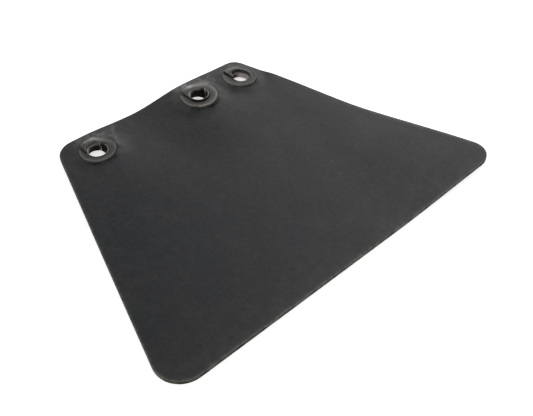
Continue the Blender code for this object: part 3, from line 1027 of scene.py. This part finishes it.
def rubber():
    shader = Shader("scuffed_rubber")
    clouds = shader.noise(28.0, 5.0, 0.6)
    smears = shader.noise(95.0, 5.0, 0.7, shader.stretched((1.0, 0.6, 1.0), 0.3))
    mottle = shader.noise(240.0, 4.0, 0.6)
    fleck = shader.noise(620.0, 4.0, 0.65)
    grain = shader.noise(2600.0, 3.0, 0.7)
    pale_smears = shader.remap(smears, 0.50, 0.68, 0.0, 0.4)
    dark_smears = shader.remap(smears, 0.32, 0.48, 0.35, 0.0)
    pale_mottle = shader.remap(mottle, 0.52, 0.75, 0.0, 0.4)
    pale_flecks = shader.remap(fleck, 0.52, 0.70, 0.0, 0.22)
    dark_flecks = shader.remap(fleck, 0.30, 0.48, 0.35, 0.0)
    scratches = scratched(shader)
    pits = shader.remap(shader.voronoi(420.0), 0.05, 0.16, 1.0, 0.0)
    pits = shader.times(pits, shader.remap(shader.noise(60.0), 0.55, 0.68))
    damp = shader.times(shader.attribute("damp"), shader.remap(mottle, 0.3, 0.65, 1.0, 0.35))
    scuff = shader.times(shader.attribute("scuff"), shader.remap(mottle, 0.3, 0.65, 0.35, 0.9))
    # dust, with a painted sheen on the far side of each ring and a painted highlight on the crest of
    # the crease
    dust_and_sheen = shader.times(shader.attribute("dust_and_sheen"), shader.remap(mottle, 0.40, 0.62, 0.2, 0.9))
    # wear along the arrises, with a painted highlight along them
    worn_and_lit = shader.times(shader.attribute("wear"), shader.remap(fleck, 0.35, 0.62, 0.3, 1.0))
    # painted shadow: blotchy dark rubber just before the near side of each ring
    blotches = shader.remap(shader.noise(420.0, 3.0, 0.6), 0.40, 0.55, 0.5, 1.0)
    painted_shadow = shader.times(shader.attribute("painted_shadow"), blotches)
    wall = shader.attribute("wall")
    cut = shader.mix(shader.remap(mottle, 0.34, 0.66), (0.014, 0.0125, 0.0105), (0.090, 0.079, 0.062))
    cloudy = shader.mix(
        shader.remap(clouds, 0.3, 0.7), (0.0085, 0.0092, 0.0110), (0.0138, 0.0137, 0.0136),
    )
    base = shader.layered(cloudy, (
        (damp, (0.0045, 0.0062, 0.0100)),
        (pale_smears, (0.021, 0.0205, 0.020)),
        (dark_smears, (0.0055, 0.006, 0.0075)),
        (pale_mottle, (0.023, 0.022, 0.021)),
        (pale_flecks, (0.026, 0.025, 0.024)),
        (dark_flecks, (0.005, 0.005, 0.006)),
        (scuff, (0.032, 0.0315, 0.031)),
        (shader.times(scratches, 0.4), (0.038, 0.039, 0.041)),
        (shader.times(pits, 0.6), (0.004, 0.004, 0.004)),
        (dust_and_sheen, (0.175, 0.170, 0.160)),
        (wall, cut),
        (worn_and_lit, (0.155, 0.147, 0.130)),
        (painted_shadow, (0.002, 0.002, 0.002)),
    ))

    rough = shader.remap(clouds, 0.25, 0.75, 0.50, 0.60)
    rough = shader.math("ADD", rough, shader.remap(grain, 0.3, 0.7, -0.04, 0.04))
    rough = shader.math("ADD", rough, shader.times(scratches, -0.08))
    # the painted shadow and the cut wall are made less glossy
    dull = shader.math("MAXIMUM", painted_shadow, wall)
    gloss = shader.remap(fleck, 0.3, 0.7, 0.26, 0.295)
    gloss = shader.times(gloss, shader.remap(dull, 0.0, 1.0, 1.0, 0.08))
    normal = shader.bump(grain, 0.012 * MM, 0.6)
    normal = shader.bump(mottle, 0.05 * MM, 0.35, normal)
    normal = shader.bump(scratches, -0.02 * MM, 0.5, normal)
    return shader.finish(Base_Color=base, Roughness=rough, Normal=normal, Specular_IOR_Level=gloss)


def ring_paint():
    shader = Shader("worn_ring_paint")
    patches = shader.noise(330.0, 5.0, 0.65)
    grain = shader.noise(3000.0, 3.0, 0.7)
    grains = shader.remap(grain, 0.58, 0.72, 0.0, 0.3)
    # wear along the rim and mouth, with painted light and shade on the rim by direction
    worn_and_lit = shader.times(shader.attribute("wear"), shader.remap(patches, 0.3, 0.65, 0.3, 0.9))
    # painted highlight: a bright band on each ring's far side, standing for light falling on it
    bright = shader.times(shader.attribute("painted_highlight"), shader.remap(patches, 0.3, 0.6, 0.65, 1.0))
    # painted shade: darker, less glossy paint in the step and round the near side of the bore
    step_and_bore_shade = shader.attribute("step_and_bore_shade")
    paint = shader.mix(shader.remap(patches, 0.35, 0.7), (0.022, 0.022, 0.020), (0.050, 0.049, 0.044))
    base = shader.layered(paint, (
        (grains, (0.08, 0.077, 0.070)),
        (worn_and_lit, (0.125, 0.120, 0.103)),
        (bright, (0.45, 0.435, 0.405)),
        (step_and_bore_shade, (0.003, 0.003, 0.003)),
    ))
    rough = shader.remap(patches, 0.3, 0.7, 0.46, 0.6)
    gloss = shader.remap(step_and_bore_shade, 0.0, 1.0, 0.3, 0.05)
    normal = shader.bump(grain, 0.015 * MM, 0.6)
    normal = shader.bump(patches, 0.06 * MM, 0.5, normal)
    return shader.finish(Base_Color=base, Roughness=rough, Normal=normal, Specular_IOR_Level=gloss)


def washer_paint():
    shader = Shader("washer_paint")
    patches = shader.noise(300.0, 5.0, 0.65)
    grain = shader.noise(2600.0, 3.0, 0.7)
    paint = shader.mix(shader.remap(patches, 0.35, 0.7), (0.05, 0.05, 0.047), (0.09, 0.088, 0.08))
    base = shader.mix(shader.attribute("wear"), paint, (0.25, 0.245, 0.23))
    rough = shader.remap(patches, 0.3, 0.7, 0.38, 0.55)
    normal = shader.bump(grain, 0.015 * MM, 0.6)
    return shader.finish(Base_Color=base, Roughness=rough, Normal=normal, Metallic=0.5)


def browned_steel():
    shader = Shader("browned_steel")
    brown = shader.noise(420.0, 5.0, 0.65)
    grain = shader.noise(2800.0, 3.0, 0.7)
    # wear on the mouth's edge, with painted light on the funnel
    worn_and_lit = shader.times(shader.attribute("wear"), shader.remap(brown, 0.25, 0.6, 0.55, 1.0))
    # painted light: the right sleeve's far inner wall in a pale copy of the steel
    lit_inner_wall = shader.times(shader.attribute("lit_inner_wall"), 0.9)
    # painted highlight along the edge of the seam, pale and partly metallic
    seam = shader.attribute("seam")
    steel = shader.mix(shader.remap(brown, 0.35, 0.7), (0.0016, 0.0009, 0.0008), (0.016, 0.008, 0.006))
    base = shader.layered(steel, (
        (lit_inner_wall, (0.44, 0.37, 0.345)),
        (worn_and_lit, (0.28, 0.27, 0.24)),
        (seam, (0.42, 0.41, 0.38)),
    ))
    rough = shader.remap(grain, 0.3, 0.7, 0.55, 0.7)
    gloss = shader.remap(worn_and_lit, 0.0, 0.5, 0.05, 0.3)
    normal = shader.bump(grain, 0.02 * MM, 0.6)
    normal = shader.bump(brown, 0.05 * MM, 0.5, normal)
    return shader.finish(
        Base_Color=base,
        Roughness=rough,
        Normal=normal,
        Metallic=shader.times(seam, 0.7),
        Specular_IOR_Level=gloss,
    )


# --- Camera, floor and light --------------------------------------------------------------

CAMERA_AZIMUTH = math.radians(-41.97)
CAMERA_ELEVATION = math.radians(45.45)
CAMERA_DISTANCE = 334.0 * MM
CAMERA_TARGET = Vector((-9.0, -25.04, 3.0)) * MM
CAMERA_LENS = 49.98               # in mm, as is the sensor's width
CAMERA_SENSOR = 36.0
CAMERA_CLIP = 10.0 * MM
HORIZON = (0.45, (1.0, 0.985, 0.96, 1.0))  # (how far up, from 0 level to 1 overhead, colour)
OVERHEAD = (0.95, (0.42, 0.45, 0.50, 1.0))
KEY_PLACE = (0.94, 0.54, 0.62)
KEY_SIZE = 0.8
KEY_POWER = 5.0
FLOOR_SIZE = 6.0
FLOOR_GAP = 0.02 * MM
FLOOR_COLOUR = (0.92, 0.92, 0.92, 1.0)
FLOOR_ROUGHNESS = 0.9
FLOOR_GLOW = 0.6                  # keeps the floor white in the flap's own shade


def add_camera():
    camera = bpy.data.objects.new("camera", bpy.data.cameras.new("camera"))
    bpy.context.scene.collection.objects.link(camera)
    camera.data.lens = CAMERA_LENS
    camera.data.sensor_width = CAMERA_SENSOR
    camera.data.clip_start = CAMERA_CLIP
    back = Vector((
        math.sin(CAMERA_AZIMUTH) * math.cos(CAMERA_ELEVATION),
        -math.cos(CAMERA_AZIMUTH) * math.cos(CAMERA_ELEVATION),
        math.sin(CAMERA_ELEVATION),
    ))
    camera.location = CAMERA_TARGET + back * CAMERA_DISTANCE
    camera.rotation_euler = back.to_track_quat("Z", "Y").to_euler()
    bpy.context.scene.camera = camera


def add_world():
    """Soft studio light, brighter and warmer near the horizon than overhead."""
    world = bpy.data.worlds.new("studio")
    world.use_nodes = True
    nodes = world.node_tree.nodes
    links = world.node_tree.links
    coordinates = nodes.new("ShaderNodeTexCoord")
    split = nodes.new("ShaderNodeSeparateXYZ")
    ramp = nodes.new("ShaderNodeValToRGB")
    for element, (position, colour) in zip(ramp.color_ramp.elements, (HORIZON, OVERHEAD)):
        element.position = position
        element.color = colour
    links.new(coordinates.outputs["Generated"], split.inputs["Vector"])
    links.new(split.outputs["Z"], ramp.inputs["Fac"])
    links.new(ramp.outputs["Color"], nodes["Background"].inputs["Color"])
    nodes["Background"].inputs["Strength"].default_value = 1.0
    bpy.context.scene.world = world
    bpy.context.scene.view_settings.view_transform = "Standard"


def add_floor():
    bpy.ops.mesh.primitive_grid_add(x_subdivisions=2, y_subdivisions=2, size=FLOOR_SIZE)
    floor = bpy.context.object
    floor.name = "floor"
    floor.location = (0.0, 0.0, CAD_BOX[0][2] - FLOOR_GAP)
    material = bpy.data.materials.new("floor_white")
    material.use_nodes = True
    shader = material.node_tree.nodes["Principled BSDF"]
    shader.inputs["Base Color"].default_value = FLOOR_COLOUR
    shader.inputs["Roughness"].default_value = FLOOR_ROUGHNESS
    shader.inputs["Emission Color"].default_value = (1.0, 1.0, 1.0, 1.0)
    shader.inputs["Emission Strength"].default_value = FLOOR_GLOW
    floor.data.materials.append(material)


def add_key_light():
    light = bpy.data.lights.new("key", "AREA")
    light.size = KEY_SIZE
    light.energy = KEY_POWER
    key = bpy.data.objects.new("key", light)
    key.location = KEY_PLACE
    key.rotation_euler = Vector(KEY_PLACE).to_track_quat("Z", "Y").to_euler()
    bpy.context.scene.collection.objects.link(key)


make_sheet(rubber())
paint = ring_paint()
washer = washer_paint()
steel = browned_steel()
for eyelet_name in EYELETS:
    make_front_ring(eyelet_name, paint)
    make_sleeve(eyelet_name, steel)
    make_rear_ring(eyelet_name, washer)

add_camera()
add_world()
add_floor()
add_key_light()
